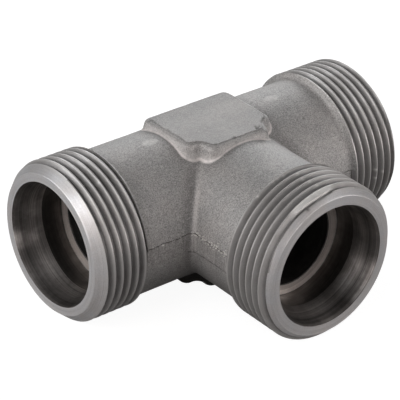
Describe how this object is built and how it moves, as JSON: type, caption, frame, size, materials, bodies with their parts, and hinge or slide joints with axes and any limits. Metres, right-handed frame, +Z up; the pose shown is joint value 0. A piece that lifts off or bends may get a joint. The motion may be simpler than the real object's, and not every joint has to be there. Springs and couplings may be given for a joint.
{
  "type": "tee connector body",
  "caption": "Forged steel tee body that joins equal metal tubes, with a coned socket and an outside thread on every arm and flat spanner pads above and below.",
  "frame": {"origin": "the point where the centre lines of the three arms cross", "axes": "+X along the run to the right port, -Y along the branch to its port, +Z up through the upper spanner pad"},
  "size_m": [0.084, 0.06, 0.036],
  "materials": {
    "forged_steel": "blasted and phosphated forging skin, satin where machined"
  },
  "bodies": {
    "root": {"tee_body": "forged_steel"}
  },
  "joints": []
}
